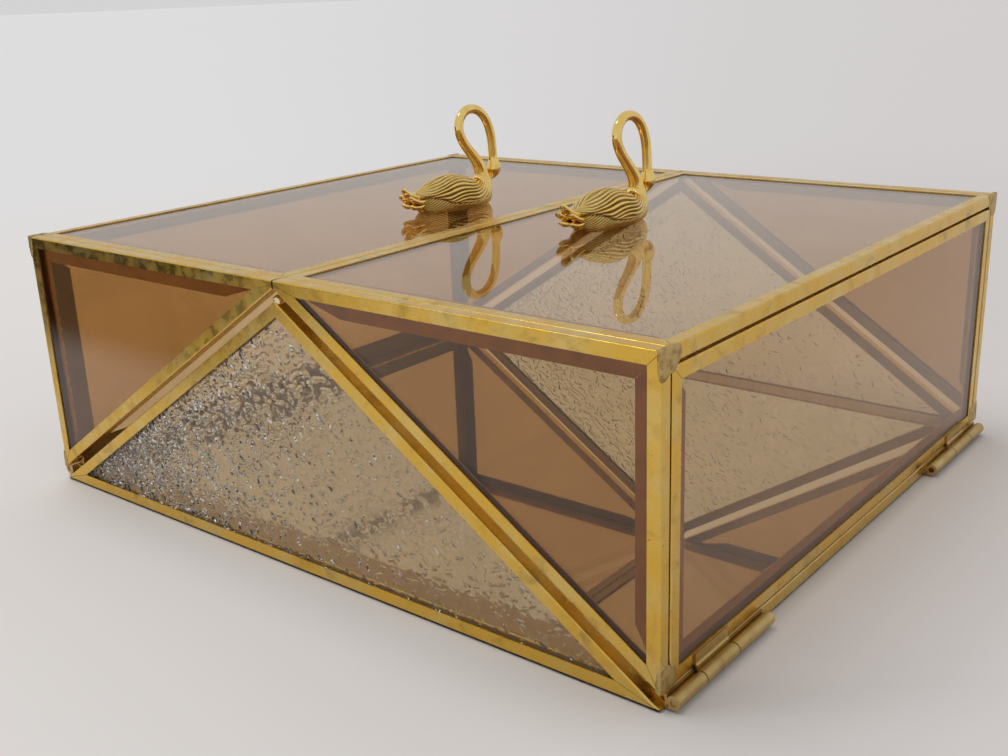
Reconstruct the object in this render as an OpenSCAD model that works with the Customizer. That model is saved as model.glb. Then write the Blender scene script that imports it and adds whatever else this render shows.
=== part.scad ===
// Glass casket box: a mirror-floored base with fixed front and back triangles of pebbled glass,
// and two butterfly lids of smoked glass hinged along the long outer edges.
// Every pane is edged in folded brass came, and each lid carries a cast swan handle.
// Origin: centre of the footprint on the standing surface. +X right, +Y back, +Z up.

/* [Box] */
// Width over the lids, along X
box_w = 228.6; // [180:0.2:300]
// Depth over the front and back triangles, along Y
box_d = 203.2; // [160:0.2:260]
// Height from the standing surface to the lids' top
box_h = 81.6; // [60:0.1:110]
// Thickness of the felt under the floor
felt_t = 0.6; // [0.5:0.1:2]
// How far the felt stops short of the came all round
felt_inset = 0.2; // [0:0.1:3]
// Gap between the floor and the lids' lower edges
floor_gap = 0.35; // [0.3:0.05:1]
// Gap between the two lids along the centre
seam_gap = 0.5; // [0.4:0.1:1.5]
// Height of the lids' front and back panels where they meet at the seam
seam_h = 2.4; // [1.5:0.1:3]
// Drop from the lids' top to the tips of the fixed triangles
apex_drop = 5.5; // [5.2:0.1:10]

/* [Glass and came] */
// Thickness of every pane
glass_t = 2.9; // [2:0.1:2.9]
// Thickness of the brass sheet of the came
brass_t = 0.3; // [0.2:0.05:0.4]
// Clear width of the came's slot
slot_t = 3; // [3:0.1:4]
// Width of the came's flange over the face of a pane
flange_w = 3.4; // [2.5:0.1:6]
// Width of the inner flange where two panels meet at a corner of the box
wide_flange_w = 7.5; // [3.4:0.1:9]
// Width of the floor came's upper flange
floor_flange_w = 9; // [3.4:0.1:12]
// Outer radius of the came's folds
fold_r = 0.45; // [0.4:0.05:1.2]
// Set-back of a pane's edge from the outside of its came
pane_inset = 0.7; // [0.6:0.1:1.5]
// Gap at a mitred corner of the came
mitre_gap = 0.1; // [0.05:0.05:0.3]
// Gap between neighbouring cames of one lid or of the base
came_gap = 0.1; // [0.05:0.05:0.3]
// Groove between a lid's side panel and the panels that meet it
side_gap = 0.7; // [0.1:0.1:2]

/* [Solder] */
// Reach of the solder over an outer corner, along the side
solder_reach = 7; // [3:0.5:8]
// Reach of the solder over an outer corner, across the front, the back and the top
solder_front = 3; // [2:0.5:5]
// Thickness of the solder over an outer corner
solder_t = 0.25; // [0.1:0.05:0.5]
// Radius of the bead on the tip of a fixed triangle
bead_r = 1.7; // [1:0.1:1.7]

/* [Hinges] */
// Outer radius of the hinge knuckles
knuckle_r = 1.7; // [1.5:0.1:2]
// Radius of the hinge pins
pin_r = 0.85; // [0.6:0.05:1]
// Radial clearance of a lid's knuckle on its pin
running_clearance = 0.05; // [0.03:0.01:0.1]
// Gap between the base's side and the knuckles
knuckle_clear = 0.4; // [0.4:0.05:0.8]
// Gap between neighbouring knuckles along the pin
knuckle_gap = 0.3; // [0.2:0.05:0.5]
// Thickness of the hinge leaves
leaf_t = 0.5; // [0.3:0.05:0.6]
// Height to which a lid's leaf climbs
leaf_top = 7.8; // [6.5:0.1:8.2]
// Distance from the centre to the inner end of a hinge, along Y
hinge_start = 55; // [30:0.5:56]
// Length of the inner knuckle, fixed to the base
inner_knuckle = 17.4; // [10:0.2:18.4]
// Length of the middle knuckle, fixed to the lid
middle_knuckle = 14.6; // [10:0.2:15.6]
// Length of the outer knuckle, fixed to the base
outer_knuckle = 12; // [8:0.2:13]
// How far the pin stops short of the inner knuckle's open end
pin_set_back = 3; // [1:0.5:8]

/* [Swan handles] */
// Place of the left swan's tail on the lid
left_swan_at = [-31.6, -19.5]; // [-60:0.1:60]
// Place of the right swan's tail on the lid
right_swan_at = [31, -19.6]; // [-60:0.1:60]
// Turn of the left swan away from the back, towards +X
left_swan_turn = 10; // [-20:1:20]
// Turn of the right swan away from the back, towards +X
right_swan_turn = 7; // [-20:1:20]
// Number of feathers round the body
feathers = 22; // [14:2:24]
// Steps between two stations of the swan's outline
swan_steps = 2; // [1:1:2]

/* [Hidden] */

round_fn = 48;
over = 1;

came_t = slot_t + 2 * brass_t;
half_w = box_w / 2;
half_d = box_d / 2;
half_seam = seam_gap / 2;
floor_top = felt_t + came_t;
lid_z = floor_top + floor_gap;
apex_z = box_h - apex_drop;
// The top and the floor run between the front and back panels and end here
inner_y = half_d - came_t - came_gap;
side_y = half_d - came_t - side_gap;
side_top = box_h - came_t - side_gap;
glass_top = box_h - brass_t - (slot_t - glass_t) / 2;
// Slope of a lid's slanted edge, and where it meets the line of the top edge, past the seam
lid_slope = (box_h - seam_h - lid_z) / (half_w - half_seam);
tip_x = half_seam - seam_h / lid_slope;

// Pane outlines, counter-clockwise: the triangles and the side in a standing plane, the rest flat
fixed_triangle = [[-half_w, felt_t], [half_w, felt_t], [0, apex_z]];
lid_triangle = [[tip_x, box_h], [half_w, lid_z], [half_w, box_h]];
side_outline = [[-side_y, lid_z], [side_y, lid_z], [side_y, side_top], [-side_y, side_top]];
top_outline = [[half_seam, -inner_y], [half_w, -inner_y], [half_w, inner_y], [half_seam, inner_y]];
floor_outline = [[-half_w, -inner_y], [half_w, -inner_y], [half_w, inner_y], [-half_w, inner_y]];

// Width of the inner flange along each edge of an outline, in the order of its edges
fixed_inner = [flange_w, flange_w, flange_w];
triangle_inner = [flange_w, wide_flange_w, wide_flange_w];
side_inner = [wide_flange_w, wide_flange_w, flange_w, wide_flange_w];
top_inner = [wide_flange_w, flange_w, wide_flange_w, flange_w];
floor_inner = [floor_flange_w, floor_flange_w, floor_flange_w, floor_flange_w];

// Hinge axis and the ends of the knuckles along it
axis_x = half_w + knuckle_clear + knuckle_r;
axis_z = felt_t + came_t / 2;
inner_end = hinge_start + inner_knuckle;
middle_start = inner_end + knuckle_gap;
middle_end = middle_start + middle_knuckle;
outer_start = middle_end + knuckle_gap;
hinge_end = outer_start + outer_knuckle;

brass = "goldenrod";
old_brass = "darkgoldenrod";
swan_gold = "gold";
solder_grey = "rosybrown";
smoke = [0.45, 0.3, 0.2, 0.6];
clear_glass = [0.85, 0.85, 0.8, 0.5];
mirror_silver = [0.75, 0.75, 0.75];

function unit(v) = v / norm(v);
function wrap(outline, i) = outline[(i + len(outline)) % len(outline)];
function to_next(outline, i) = unit(wrap(outline, i + 1) - wrap(outline, i));
function to_previous(outline, i) = unit(wrap(outline, i - 1) - wrap(outline, i));
// Inside angle at corner i of an outline
function corner_angle(outline, i) = acos(to_next(outline, i) * to_previous(outline, i));
function inset_corner(outline, i, d) =
    wrap(outline, i)
    + unit(to_next(outline, i) + to_previous(outline, i)) * d / sin(corner_angle(outline, i) / 2);
function inset_outline(outline, d) = [for (i = [0 : len(outline) - 1]) inset_corner(outline, i, d)];

// A slab's section with its two corners at x = 0 rounded
module rounded_section(w, t, r) {
    translate([r, 0]) square([w - r, t]);
    translate([0, r]) square([w, t - 2 * r]);
    for (y = [r, t - r]) translate([r, y]) circle(r, $fn = round_fn);
}

// Section of the came: web at x = 0, open towards +X, the inner flange below
module came_section(inner_w) {
    difference() {
        union() {
            rounded_section(flange_w, came_t, fold_r);
            translate([fold_r, 0]) square([inner_w - fold_r, brass_t]);
        }
        translate([brass_t, brass_t])
            rounded_section(max(flange_w, inner_w), slot_t, fold_r - brass_t);
    }
}

// One strip of came along edge i of an outline, mitred at both ends
module came_strip(outline, i, inner_w) {
    start = wrap(outline, i);
    edge = wrap(outline, i + 1) - start;
    length = norm(edge);
    first_half = corner_angle(outline, i) / 2;
    last_half = corner_angle(outline, i + 1) / 2;
    first_cut = mitre_gap / 2 / sin(first_half);
    last_cut = length - mitre_gap / 2 / sin(last_half);
    depth = max(flange_w, inner_w) + over;
    translate(start) rotate(atan2(edge.y, edge.x)) intersection() {
        rotate([90, 0, 90]) linear_extrude(length) came_section(inner_w);
        translate([0, 0, -over]) linear_extrude(came_t + 2 * over) polygon([
            [first_cut - over / tan(first_half), -over],
            [last_cut + over / tan(last_half), -over],
            [last_cut - depth / tan(last_half), depth],
            [first_cut + depth / tan(first_half), depth]
        ]);
    }
}

module came_frame(outline, inner_widths) {
    for (i = [0 : len(outline) - 1]) came_strip(outline, i, inner_widths[i]);
}

module pane(outline) {
    translate([0, 0, (came_t - glass_t) / 2])
        linear_extrude(glass_t) polygon(inset_outline(outline, pane_inset));
}

// Cuts a lid's front or back panel off square, at the given distance from the centre
module cut_at_seam(x) {
    intersection() {
        children();
        translate([x, 0, -over]) cube([box_w, box_h + over, came_t + 2 * over]);
    }
}

// Stands a flat panel up as the front of the box
module at_front() {
    translate([0, came_t - half_d, 0]) rotate([90, 0, 0]) children();
}

module at_back() {
    mirror([0, 1, 0]) at_front() children();
}

module at_right_side() {
    translate([half_w - came_t, 0, 0]) rotate([90, 0, 90]) children();
}

module at_top() {
    translate([0, 0, box_h - came_t]) children();
}

module on_left() {
    mirror([1, 0, 0]) children();
}

module felt_pad() {
    color("black") linear_extrude(felt_t)
        square([box_w - 2 * felt_inset, box_d - 2 * felt_inset], center = true);
}

module floor_mirror() {
    color(mirror_silver) translate([0, 0, felt_t]) pane(floor_outline);
}

module floor_came() {
    color(brass) translate([0, 0, floor_top]) mirror([0, 0, 1]) came_frame(floor_outline, floor_inner);
}

module fixed_glass() {
    color(clear_glass) pane(fixed_triangle);
}

module fixed_came() {
    color(brass) came_frame(fixed_triangle, fixed_inner);
}

// The blob of solder that closes the mitre at the tip of a fixed triangle
module apex_bead() {
    color(solder_grey) difference() {
        translate([0, came_t / 2 - half_d, apex_z - mitre_gap]) sphere(bead_r, $fn = round_fn);
        at_front() translate([0, 0, -over]) linear_extrude(came_t + 2 * over) polygon(fixed_triangle);
    }
}

module apex_beads() {
    apex_bead();
    mirror([0, 1, 0]) apex_bead();
}

// Runs its children at the front hinge and, mirrored, at the back hinge of the right side
module at_both_hinges() {
    children();
    mirror([0, 1, 0]) children();
}

// A cylinder about the hinge axis from y0 to y1
module axis_cylinder(r, y0, y1) {
    translate([axis_x, y0, axis_z]) rotate([-90, 0, 0]) cylinder(h = y1 - y0, r = r, $fn = round_fn);
}

// Knuckle of the base: a leaf on the floor came's web, curled round the pin
module base_knuckle(y0, y1) {
    leaf_low = axis_z - knuckle_r;
    difference() {
        union() {
            axis_cylinder(knuckle_r, y0, y1);
            translate([half_w, y0, leaf_low]) cube([axis_x - half_w, y1 - y0, leaf_t]);
            translate([half_w, y0, leaf_low]) cube([leaf_t, y1 - y0, 2 * knuckle_r]);
        }
        axis_cylinder(pin_r, y0 - over, y1 + over);
    }
}

module hinge_base_knuckles() {
    color(old_brass) at_both_hinges() {
        base_knuckle(hinge_start, inner_end);
        base_knuckle(outer_start, hinge_end);
    }
}

// Leaf of a lid: rises from the knuckle, steps in over the floor gap and lies on the side came
module lid_leaf_section() {
    step_low = lid_z + 0.1;
    step_high = step_low + knuckle_clear;
    polygon([
        [half_w + knuckle_clear, axis_z],
        [half_w + knuckle_clear + leaf_t, axis_z],
        [half_w + knuckle_clear + leaf_t, step_low + leaf_t / 2],
        [half_w + leaf_t, step_high + leaf_t / 2],
        [half_w + leaf_t, leaf_top],
        [half_w, leaf_top],
        [half_w, step_high],
        [half_w + knuckle_clear, step_low]
    ]);
}

module hinge_lid_knuckles() {
    color(old_brass) at_both_hinges() difference() {
        union() {
            axis_cylinder(knuckle_r, middle_start, middle_end);
            translate([0, middle_end, 0]) rotate([90, 0, 0])
                linear_extrude(middle_knuckle) lid_leaf_section();
        }
        axis_cylinder(pin_r + running_clearance, middle_start - over, middle_end + over);
    }
}

module hinge_pins() {
    color(old_brass) at_both_hinges()
        axis_cylinder(pin_r, hinge_start + pin_set_back, hinge_end - knuckle_gap);
}

// Part of a quarter disc of solder: up to high_x across, and above a line that rises from low_y
module solder_skin(low_y, high_x, slope) {
    linear_extrude(solder_t) intersection() {
        circle(solder_reach, $fn = round_fn);
        polygon([
            [-solder_t, low_y],
            [0, low_y],
            [high_x, low_y + slope * high_x],
            [high_x, solder_reach + over],
            [-solder_t, solder_reach + over]
        ]);
    }
}

// Thin solder wrapped over an outer corner at height z: on the side, on the front and, at the
// top, on the upper face. At a lower corner the front's solder keeps to the slanted panel.
module corner_solder(z, reaches_up) {
    low_z = reaches_up ? 0 : -solder_t;
    flip_z = reaches_up ? 0 : 1;
    slope = reaches_up ? lid_slope : 0;
    color(solder_grey) translate([half_w, -half_d, z]) mirror([1, 0, 0]) mirror([0, 0, flip_z]) {
        translate([-solder_t, 0, 0]) rotate([90, 0, 90]) solder_skin(low_z, solder_reach + over, 0);
        rotate([90, 0, 0]) solder_skin(low_z, solder_front, slope);
        if (!reaches_up) translate([0, 0, -solder_t]) solder_skin(-solder_t, solder_front, 0);
    }
}

module lid_corner_solder() {
    at_both_hinges() {
        corner_solder(box_h, false);
        corner_solder(lid_z, true);
    }
}

module top_glass() {
    color(smoke) at_top() pane(top_outline);
}

module top_came() {
    color(brass) at_top() came_frame(top_outline, top_inner);
}

module side_glass() {
    color(smoke) at_right_side() pane(side_outline);
}

module side_came() {
    color(brass) at_right_side() came_frame(side_outline, side_inner);
}

module triangle_glass() {
    color(smoke) cut_at_seam(half_seam + pane_inset) pane(lid_triangle);
}

module triangle_came() {
    color(brass) cut_at_seam(half_seam) came_frame(lid_triangle, triangle_inner);
}

// A station of the swan: centre along and above the lid, tilt of the section, half height,
// half width, depth of the feather grooves, rise of the curled middle tail feather
function across(back, belly, w, groove, curl = 0) = [
    (back.x + belly.x) / 2, (back.y + belly.y) / 2,
    atan2(belly.x - back.x, back.y - belly.y),
    norm(back - belly) / 2, w, groove, curl
];
function round_at(x, z, tilt, r) = [x, z, tilt, r, r, 0, 0];

// From the hollow of the tail over the rim, along the body, up the neck's loop to the bill
swan_stations = [
    across([4.8, 5.4], [6.4, 3.0], 1.8, 0),
    across([2.2, 6.4], [6.0, 1.3], 3.5, 0.1, 1),
    across([0.9, 7.5], [5.2, 0.8], 4.6, 0.14, 2.3),
    across([2.2, 6.5], [6.4, -0.4], 4.4, 0.14, 0.9),
    across([4.8, 6.2], [7.8, -1.2], 4.6, 0.13),
    across([8.2, 7.3], [10, -1.8], 5.6, 0.11),
    across([12.4, 9.2], [13.2, -2], 6.8, 0.1),
    across([16.6, 10.3], [16.8, -2], 7.5, 0.1),
    across([20.8, 10.4], [21, -2], 7.6, 0.1),
    across([25, 9.4], [26, -1.8], 7, 0.1),
    across([28.4, 8.4], [31, -1.2], 5.6, 0.08),
    across([30.4, 8.6], [35, 0.6], 4.2, 0.04),
    across([30.8, 10.1], [36, 5.4], 3, 0.01),
    round_at(32.7, 10.4, 97, 1.95),
    round_at(31.4, 13.4, 119, 1.65),
    round_at(28.6, 17, 130, 1.45),
    round_at(25.7, 20.6, 123, 1.35),
    round_at(24, 24.4, 98, 1.3),
    round_at(24.4, 28.2, 68, 1.3),
    round_at(27, 31, 27, 1.3),
    round_at(30.4, 31.5, -10, 1.3),
    round_at(33.7, 29.8, -43, 1.3),
    round_at(36.2, 26.5, -62, 1.3),
    round_at(37.6, 22.4, -78, 1.3),
    round_at(38.1, 18, -86, 1.35),
    round_at(38.3, 14.2, -86, 1.4),
    [38.6, 12, -88, 1.75, 1.75, 0, 0],
    [38.5, 10.3, -104, 1.9, 1.8, 0, 0],
    [37.8, 8.9, -127, 1.3, 1.4, 0, 0],
    [36.9, 7.9, -135, 0.6, 0.9, 0, 0],
    [36.2, 7.2, -135, 0.2, 0.45, 0, 0]
];

function spline(p0, p1, p2, p3, t) =
    ((2 * p1) + (p2 - p0) * t + (2 * p0 - 5 * p1 + 4 * p2 - p3) * t * t
    + (3 * p1 - p0 - 3 * p2 + p3) * t * t * t) / 2;

last_station = len(swan_stations) - 1;
swan_rings = [
    for (s = [0 : last_station - 1], k = [0 : swan_steps - 1])
        spline(swan_stations[max(s - 1, 0)], swan_stations[s], swan_stations[s + 1],
            swan_stations[min(s + 2, last_station)], k / swan_steps),
    swan_stations[last_station]
];

// Point i of a ring: feathers stand out at even points, and the foot is flat on the glass
ring_sides = 2 * feathers;
function ring_point(ring, i) =
    let (
        a = 360 * i / ring_sides,
        ridge = 1 - (i % 2) * ring[5],
        side = ring[4] * ridge * cos(a),
        curl = ring[6] * exp(-pow((a - 90) / 26, 2)),
        rise = ring[3] * ridge * sin(a) + curl
    )
    [side, ring[0] - rise * sin(ring[2]), max(0, ring[1] + rise * cos(ring[2]))];

module swan() {
    points = [for (ring = swan_rings, i = [0 : ring_sides - 1]) ring_point(ring, i)];
    last = len(points) - ring_sides;
    faces = concat(
        [[for (i = [0 : ring_sides - 1]) i]],
        [for (r = [0 : len(swan_rings) - 2], i = [0 : ring_sides - 1])
            let (a = r * ring_sides + i, b = r * ring_sides + (i + 1) % ring_sides)
            [a, a + ring_sides, b + ring_sides, b]],
        [[for (i = [ring_sides - 1 : -1 : 0]) last + i]]
    );
    color(swan_gold) polyhedron(points, faces, convexity = 10);
}

module swan_at(tail, turn) {
    translate([tail.x, tail.y, glass_top]) rotate([0, 0, -turn]) swan();
}

felt_pad();  // base_felt_pad
floor_mirror();
floor_came();
at_front() fixed_glass();  // front_fixed_glass
at_front() fixed_came();  // front_fixed_came
at_back() fixed_glass();  // back_fixed_glass
at_back() fixed_came();  // back_fixed_came
apex_beads();  // apex_solder_beads
on_left() hinge_base_knuckles();  // left_hinge_base_knuckles
on_left() hinge_pins();  // left_hinge_pins
hinge_base_knuckles();  // right_hinge_base_knuckles
hinge_pins();  // right_hinge_pins
on_left() top_glass();  // left_top_glass
on_left() top_came();  // left_top_came
on_left() side_glass();  // left_side_glass
on_left() side_came();  // left_side_came
on_left() at_front() triangle_glass();  // left_front_glass
on_left() at_front() triangle_came();  // left_front_came
on_left() at_back() triangle_glass();  // left_back_glass
on_left() at_back() triangle_came();  // left_back_came
on_left() lid_corner_solder();  // left_corner_solder
on_left() hinge_lid_knuckles();  // left_hinge_lid_knuckles
swan_at(left_swan_at, left_swan_turn);  // left_swan_handle
top_glass();  // right_top_glass
top_came();  // right_top_came
side_glass();  // right_side_glass
side_came();  // right_side_came
at_front() triangle_glass();  // right_front_glass
at_front() triangle_came();  // right_front_came
at_back() triangle_glass();  // right_back_glass
at_back() triangle_came();  // right_back_came
lid_corner_solder();  // right_corner_solder
hinge_lid_knuckles();  // right_hinge_lid_knuckles
swan_at(right_swan_at, right_swan_turn);  // right_swan_handle
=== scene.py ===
"""Looks of the glass casket box: brass came, smoked and pebbled glass, mirror floor, solder and swans."""

import math

import bmesh
import bpy
import numpy as np
from mathutils import Matrix, Vector, noise


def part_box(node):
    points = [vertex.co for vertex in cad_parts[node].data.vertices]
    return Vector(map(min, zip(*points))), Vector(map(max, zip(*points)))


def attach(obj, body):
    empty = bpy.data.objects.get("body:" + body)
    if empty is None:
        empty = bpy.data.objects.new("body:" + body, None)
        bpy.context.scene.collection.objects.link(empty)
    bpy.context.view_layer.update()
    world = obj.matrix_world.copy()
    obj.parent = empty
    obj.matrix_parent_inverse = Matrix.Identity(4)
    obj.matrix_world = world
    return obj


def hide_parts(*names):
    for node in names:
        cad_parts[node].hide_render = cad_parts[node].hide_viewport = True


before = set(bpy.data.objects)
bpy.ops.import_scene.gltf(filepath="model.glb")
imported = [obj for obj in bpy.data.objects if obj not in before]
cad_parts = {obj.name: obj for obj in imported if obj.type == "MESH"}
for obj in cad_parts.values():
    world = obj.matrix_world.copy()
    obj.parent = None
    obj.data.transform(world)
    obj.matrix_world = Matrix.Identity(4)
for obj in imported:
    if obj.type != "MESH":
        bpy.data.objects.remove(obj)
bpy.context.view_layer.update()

MM = 0.001

# Camera, as solved from the box's corners
CAMERA_PLACE = (0.22788, -0.28802, 0.14881)
CAMERA_TURN = (71.703, 2.0635, 38.751)
CAMERA_LENS = 41.875
CAMERA_SENSOR = 36
CAMERA_NEAREST = 0.01

# Colours, in linear light
CLEAN_BRASS = (0.75, 0.47, 0.08)
PALE_BRASS = (0.73, 0.52, 0.16)
TARNISH = (0.30, 0.18, 0.05)
# Painted shade on the faces of a came in its slot, against its pane
SLOT_SHADE_BROWN = (0.62, 0.38, 0.05)
# Painted shade: darker browns for the faces inside the box, of the panels at the sides, at the ends, and of
# the floor and tops
INNER_SHADE_BROWNS = [(0.27, 0.17, 0.065), (0.42, 0.30, 0.14), (0.62, 0.44, 0.18)]
HINGE_TAN = (0.50, 0.35, 0.13)
HINGE_PALE = (0.60, 0.44, 0.19)
SWAN_GOLD = (0.95, 0.72, 0.26)
SWAN_DEEP = (0.90, 0.60, 0.16)
# Painted shade in the swans' grooves and hollows
SWAN_GROOVE_SHADE = (0.10, 0.045, 0.01)
SOLDER_TAN = (0.56, 0.41, 0.16)
SOLDER_DARK = (0.30, 0.20, 0.075)
BEAD_BRIGHT = (0.88, 0.76, 0.48)
SMOKE_TINT = (0.62, 0.42, 0.21)
SMOKE_HAZY = (0.6568, 0.4488, 0.2304)
PANE_EDGE = (0.10, 0.05, 0.03)
PEBBLED_TINT = (0.93, 0.93, 0.90)
PEBBLED_GREENER = (0.8835, 0.9021, 0.837)
MIRROR_SILVER = (0.86, 0.86, 0.84)
MIRROR_WIPED = (0.82, 0.82, 0.80)
FELT_BLACK = (0.010, 0.010, 0.011)
FELT_LINT = (0.035, 0.034, 0.036)
# What a face of a smoked and of a pebbled pane leaves of a lamp's light
SMOKE_SHADOW = (0.84, 0.81, 0.78)
PEBBLED_SHADOW = (0.9, 0.89, 0.86)
# The floor near the box and far off: on its left, and on its right darker with painted shade
FLOOR_LEFT = (0.73, 0.711, 0.70)
FLOOR_RIGHT_SHADED = (0.60, 0.58, 0.575)
FAR_LEFT = (0.72, 0.73, 0.745)
FAR_RIGHT_SHADED = (0.63, 0.615, 0.62)
BACKDROP = (0.66, 0.655, 0.655)
ROOM_DARK = (0.035, 0.032, 0.03)
ROOM_DARKEST = (0.0175, 0.016, 0.015)
ROOM_BRIGHT = (0.66, 0.65, 0.65)
SKY_DIM = (0.15, 0.145, 0.14)
LAMP_WHITE = (1, 0.985, 0.965)

GLASS_IOR = 1.52


# Node helpers


def start_material(name):
    """A new material with its tree and its Principled node."""
    material = bpy.data.materials.new(name)
    material.use_nodes = True
    tree = material.node_tree
    return material, tree, tree.nodes["Principled BSDF"]


def feed(tree, node, inputs):
    """Sets a node's inputs, given as numbers, colours or sockets."""
    for key, value in inputs.items():
        if isinstance(value, bpy.types.NodeSocket):
            tree.links.new(value, node.inputs[key])
        else:
            node.inputs[key].default_value = value


def put(tree, kind, inputs=None, **settings):
    """A new node of one kind, with its settings and inputs."""
    node = tree.nodes.new(kind)
    for key, value in settings.items():
        setattr(node, key, value)
    feed(tree, node, inputs or {})
    return node


def maths(tree, operation, *values):
    """One operation on numbers or sockets."""
    return put(tree, "ShaderNodeMath", dict(enumerate(values)), operation=operation).outputs[0]


def place(tree, stretch=(1, 1, 1)):
    """The piece's own coordinates, stretched."""
    coords = put(tree, "ShaderNodeTexCoord")
    return put(tree, "ShaderNodeMapping", {"Vector": coords.outputs["Object"], "Scale": stretch}).outputs[0]


def along_axis(tree, output, axis):
    """One axis of the piece's own coordinates, for Object, or of the way a face looks, for Normal."""
    coords = put(tree, "ShaderNodeTexCoord")
    return put(tree, "ShaderNodeSeparateXYZ", {0: coords.outputs[output]}).outputs[axis]


def cloudy(tree, where, scale, detail, rough=0.55, warp=0.0):
    inputs = {"Vector": where, "Scale": scale, "Detail": detail, "Roughness": rough, "Distortion": warp}
    return put(tree, "ShaderNodeTexNoise", inputs).outputs["Fac"]


def stretch_range(tree, value, low, high, to_low=0.0, to_high=1.0):
    inputs = {"Value": value, "From Min": low, "From Max": high, "To Min": to_low, "To Max": to_high}
    return put(tree, "ShaderNodeMapRange", inputs, interpolation_type="SMOOTHSTEP").outputs[0]


def in_patches(tree, where, scale, detail, low, high, to_low=0.0, to_high=1.0, rough=0.55, warp=0.0):
    """Soft patches: to_low where the noise is under low, and to_high where it is over high."""
    cloud = cloudy(tree, where, scale, detail, rough, warp)
    return stretch_range(tree, cloud, low, high, to_low, to_high)


def blend_colours(tree, share, first, second):
    node = put(tree, "ShaderNodeMix", data_type="RGBA")
    factor, a, b = node.inputs[0], node.inputs[6], node.inputs[7]
    tree.links.new(share, factor)
    for socket, value in ((a, first), (b, second)):
        if isinstance(value, bpy.types.NodeSocket):
            tree.links.new(value, socket)
        else:
            socket.default_value = (*value, 1)
    return node.outputs[2]


def bump(tree, height, strength, distance, below=None):
    inputs = {"Height": height, "Strength": strength, "Distance": distance}
    if below is not None:
        inputs["Normal"] = below
    return put(tree, "ShaderNodeBump", inputs).outputs[0]


def mix_shaders(tree, share, first, second):
    """Shows the first shader where share is 0 and the second where it is 1."""
    mix = put(tree, "ShaderNodeMixShader", {0: share, 1: first.outputs[0], 2: second.outputs[0]})
    tree.links.new(mix.outputs[0], tree.nodes["Material Output"].inputs["Surface"])


# Brass

# The middle of the box, from which the way into it is told
BOX_MIDDLE = (0, 0, 0.04)
# How squarely a face looks along an axis: from here it begins to count, and there it counts in full
FACING = (0.3, 0.7)
# How far from the pane's middle plane, less than 0 for a face that looks towards it, a face of the
# came counts in full as one of the slot's, and where it no longer does
SLOT_FACE = (-1.2 * MM, -0.4 * MM)
# The tarnish counts this much more in specks than in blotches
SPECKS_TO_BLOTCHES = 1.6
UNPOLISHED_ROUGHER = 0.22
# Rub marks run along z
RUB_STRETCH = (1, 1, 0.25)


def came_sides(tree, axis, middle):
    """Two shares: of the faces of a came that look at its pane, and of those that look into the box.
    The pane's middle plane crosses the axis at middle."""
    facing = along_axis(tree, "Normal", axis)
    offset = maths(tree, "SUBTRACT", along_axis(tree, "Object", axis), middle)
    outward = maths(tree, "MULTIPLY", offset, facing)
    at_pane = stretch_range(tree, outward, *SLOT_FACE, to_low=1, to_high=0)
    inward = -1 if middle > BOX_MIDDLE[axis] else 1
    into_box = maths(tree, "MULTIPLY", facing, inward)
    return at_pane, stretch_range(tree, into_box, *FACING)


def make_brass(name, colours, tarnish_share, rough_low, rough_high, pane=None):
    """Sheet brass: clean and paler patches, brown tarnish in specks and blotches, fine rub marks.
    pane is the axis across its pane and the place of the pane's middle. The slot and the faces
    inside the box, which nobody polishes, are dull, and they are painted darker browns as painted shade."""
    material, tree, skin = start_material(name)
    where = place(tree)
    paler = in_patches(tree, where, scale=70, detail=5, low=0.40, high=0.66)
    colour = blend_colours(tree, paler, *colours)
    blotches = in_patches(
        tree, where, scale=150, detail=5, low=0.50, high=0.80, to_high=tarnish_share, rough=0.6, warp=0.4
    )
    colour = blend_colours(tree, blotches, colour, TARNISH)
    speck_share = min(1, tarnish_share * SPECKS_TO_BLOTCHES)
    specks = in_patches(tree, where, scale=900, detail=2, low=0.72, high=0.82, to_high=speck_share, rough=0.5)
    colour = blend_colours(tree, specks, colour, TARNISH)
    rough = in_patches(
        tree, where, scale=240, detail=5, low=0.3, high=0.7, to_low=rough_low, to_high=rough_high
    )
    if pane is not None:
        at_pane, into_box = came_sides(tree, *pane)
        # Painted shade: the faces that look into the box and the faces in the slot are painted darker browns
        colour = blend_colours(tree, into_box, colour, INNER_SHADE_BROWNS[pane[0]])
        colour = blend_colours(tree, at_pane, colour, SLOT_SHADE_BROWN)
        unpolished = maths(tree, "MAXIMUM", at_pane, into_box)
        rough = maths(tree, "ADD", rough, maths(tree, "MULTIPLY", unpolished, UNPOLISHED_ROUGHER))
    dents = bump(tree, cloudy(tree, where, scale=110, detail=3), strength=0.06, distance=0.3 * MM)
    marks = cloudy(tree, place(tree, RUB_STRETCH), scale=2600, detail=2)
    rubs = bump(tree, marks, strength=0.06, distance=0.05 * MM, below=dents)
    feed(tree, skin, {"Base Color": colour, "Metallic": 1, "Roughness": rough, "Normal": rubs})
    return material


# Glass and mirror


def make_clear(tree, skin, colour, rough, shadow):
    """Turns the skin to glass. A lamp's rays go through it, tinted, to what is behind."""
    feed(tree, skin, {"Base Color": colour, "Roughness": rough, "IOR": GLASS_IOR, "Transmission Weight": 1})
    path = put(tree, "ShaderNodeLightPath")
    open_to_lamps = put(tree, "ShaderNodeBsdfTransparent", {"Color": (*shadow, 1)})
    mix_shaders(tree, path.outputs["Is Shadow Ray"], skin, open_to_lamps)


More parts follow.
